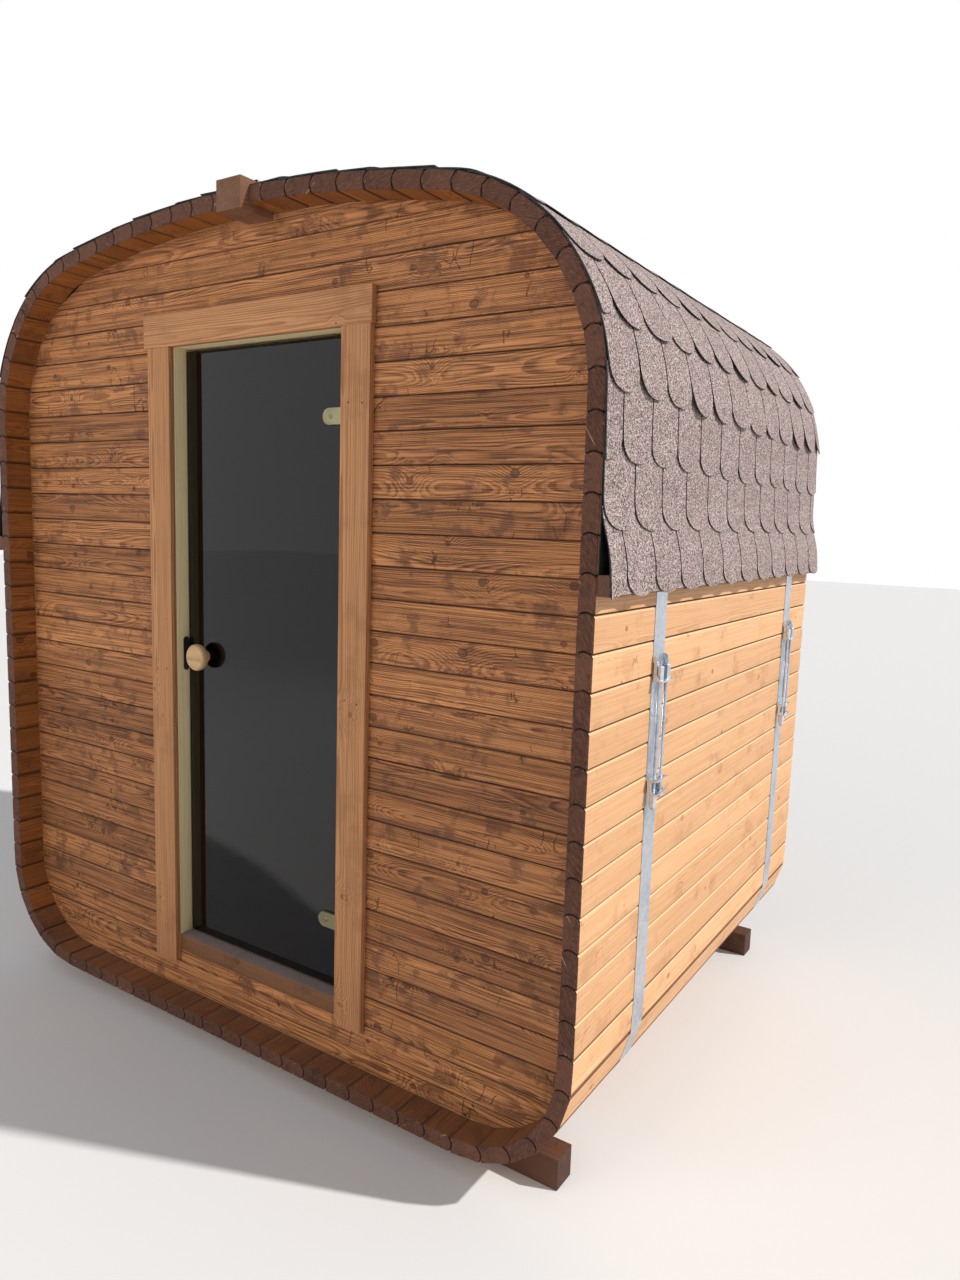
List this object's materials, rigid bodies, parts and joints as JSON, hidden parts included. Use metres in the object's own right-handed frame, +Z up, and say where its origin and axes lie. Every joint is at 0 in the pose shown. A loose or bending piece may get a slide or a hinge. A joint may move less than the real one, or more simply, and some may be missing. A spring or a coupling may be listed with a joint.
{
  "type": "outdoor sauna",
  "caption": "Outdoor sauna shaped as a rounded square barrel of staves, with recessed board end walls, a glass door in a wooden frame, steel hoops and a shingled roof running down both sides.",
  "frame": {"origin": "on the ground, centre of the overall footprint", "axes": "+Z up, +X to the right seen from the front, +Y from the door end to the back, so the door faces -Y"},
  "size_m": [2.4456, 1.938, 2.606],
  "materials": {
    "stave_wood": "stained softwood staves, orange-brown with darker end grain",
    "board_wood": "brushed and dark stained knotty softwood boards",
    "trim_wood": "smooth golden-brown stained softwood",
    "stained_wood": "brown stained sawn softwood",
    "pale_wood": "planed unfinished softwood",
    "tinted_glass": "polished dark tinted toughened glass",
    "hinge_metal": "satin pale brass colour",
    "black_metal": "satin black",
    "hoop_steel": "bright zinc-coated steel strip",
    "roof_shingle": "bitumen sheet faced with brown-grey mineral granules"
  },
  "bodies": {
    "cabin": {"foot_beam_front": "stained_wood", "foot_beam_back": "stained_wood", "floor_staves": "stave_wood", "lower_corner_left": "stave_wood", "lower_corner_right": "stave_wood", "side_staves_left": "stave_wood", "side_staves_right": "stave_wood", "upper_corner_left": "stave_wood", "upper_corner_right": "stave_wood", "roof_staves_left": "stave_wood", "roof_staves_right": "stave_wood", "ridge_beam": "stained_wood", "front_wall_left": "board_wood", "front_wall_right": "board_wood", "front_wall_above_door": "board_wood", "front_wall_below_door": "board_wood", "back_wall": "board_wood", "door_jamb_left": "pale_wood", "door_jamb_right": "pale_wood", "door_head": "pale_wood", "door_sill": "trim_wood", "door_trim_left": "trim_wood", "door_trim_right": "trim_wood", "door_trim_header": "trim_wood", "hinge_jamb_leaves": "hinge_metal", "latch_plate": "black_metal", "hoop_front": "hoop_steel", "hoop_back": "hoop_steel", "tightener_front": "hoop_steel", "tightener_back": "hoop_steel", "eaves_batten_left": "stained_wood", "eaves_batten_right": "stained_wood", "shingles_left": "roof_shingle", "shingles_right": "roof_shingle", "shingles_ridge": "roof_shingle"},
    "door": {"door_glass": "tinted_glass", "door_knob": "trim_wood", "door_hinge_clips": "hinge_metal"}
  },
  "joints": [
    {"name": "door_hinge", "type": "hinge", "parent": "cabin", "child": "door", "pos_m": [0.356, -0.817, 0.502], "axis": [0, 0, 1], "range_deg": [0, 95]}
  ]
}
